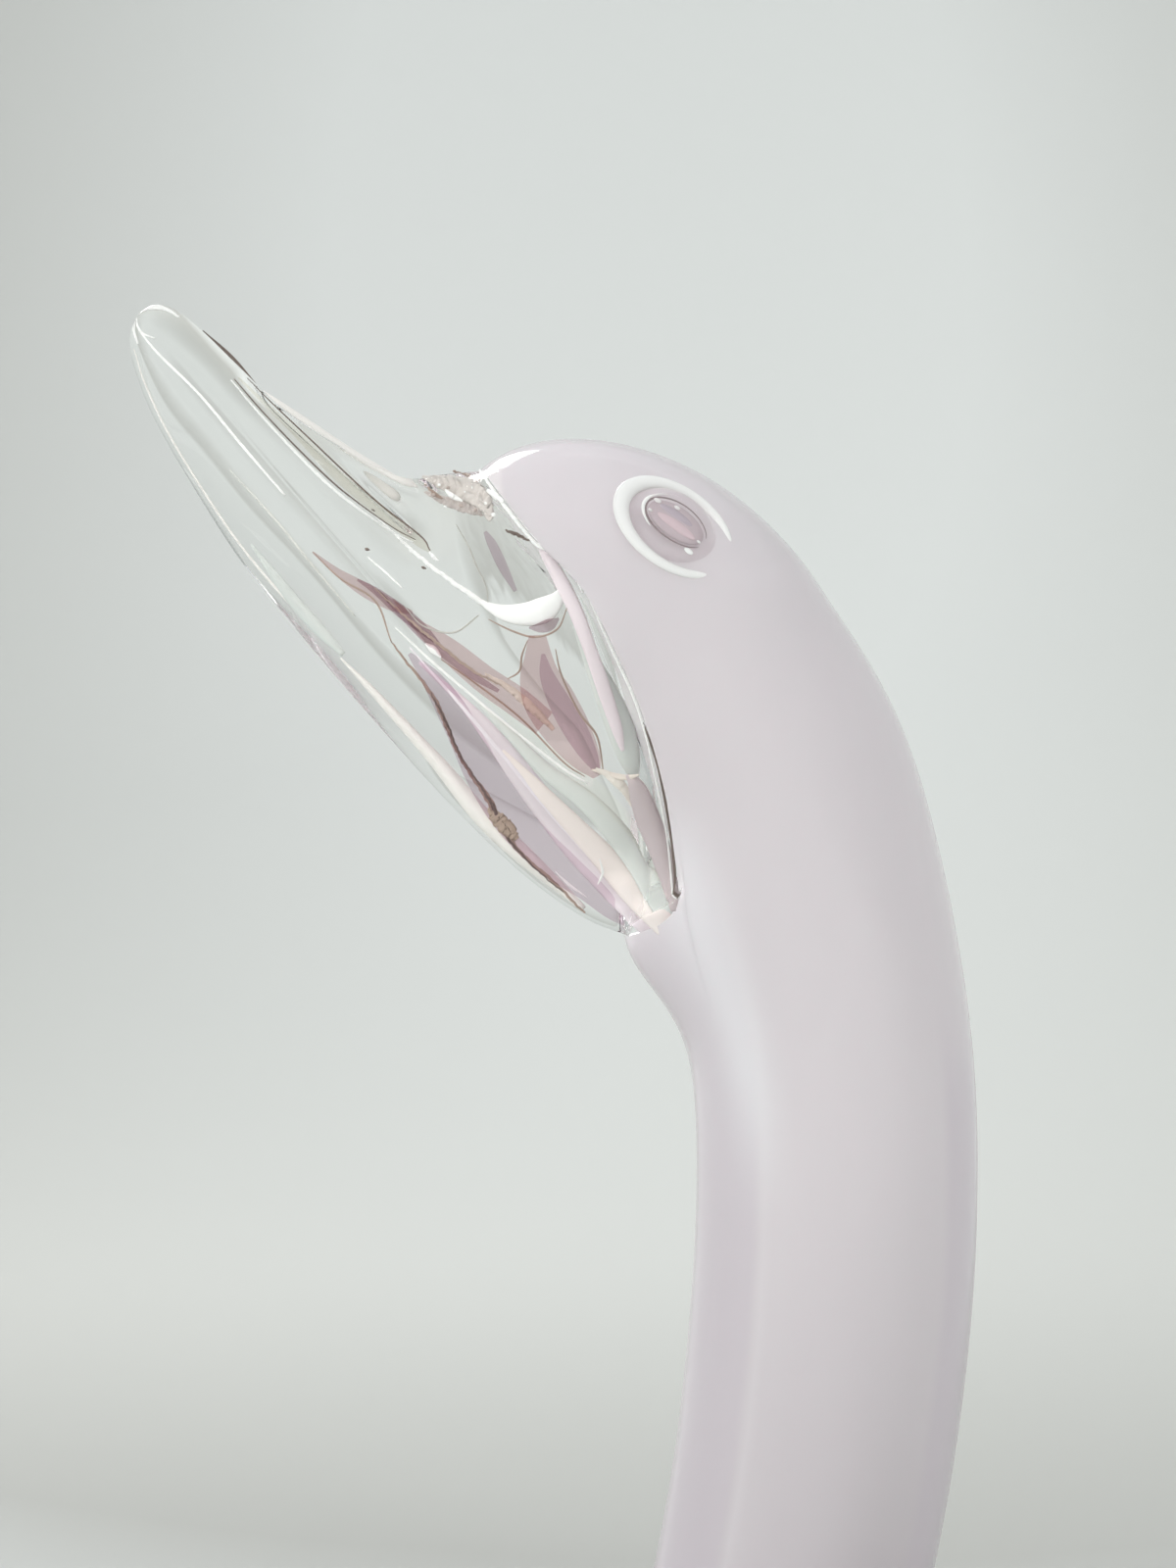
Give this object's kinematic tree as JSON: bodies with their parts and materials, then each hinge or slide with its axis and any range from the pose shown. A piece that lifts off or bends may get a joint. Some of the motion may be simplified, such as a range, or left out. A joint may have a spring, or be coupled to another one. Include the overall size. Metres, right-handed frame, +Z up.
{
  "type": "glass swan head ornament",
  "caption": "Hot-worked glass swan head and neck, cut flat below to stand: milky lilac neck, clear glass bill, clear drop eyes.",
  "frame": {"origin": "centre of the flat underside of the neck", "axes": "+Z up, the bill points towards -X, Y runs across the head from side to side"},
  "size_m": [0.0735, 0.0244, 0.1146],
  "materials": {
    "opal_glass": "fire-polished milky lilac glass, glossy, clear lilac skin over a white core",
    "clear_glass": "fire-polished clear glass, glossy, with streaks and bubbles sealed in"
  },
  "bodies": {
    "root": {"neck_and_head": "opal_glass", "bill": "clear_glass", "eye_left": "clear_glass", "eye_right": "clear_glass"}
  },
  "joints": []
}
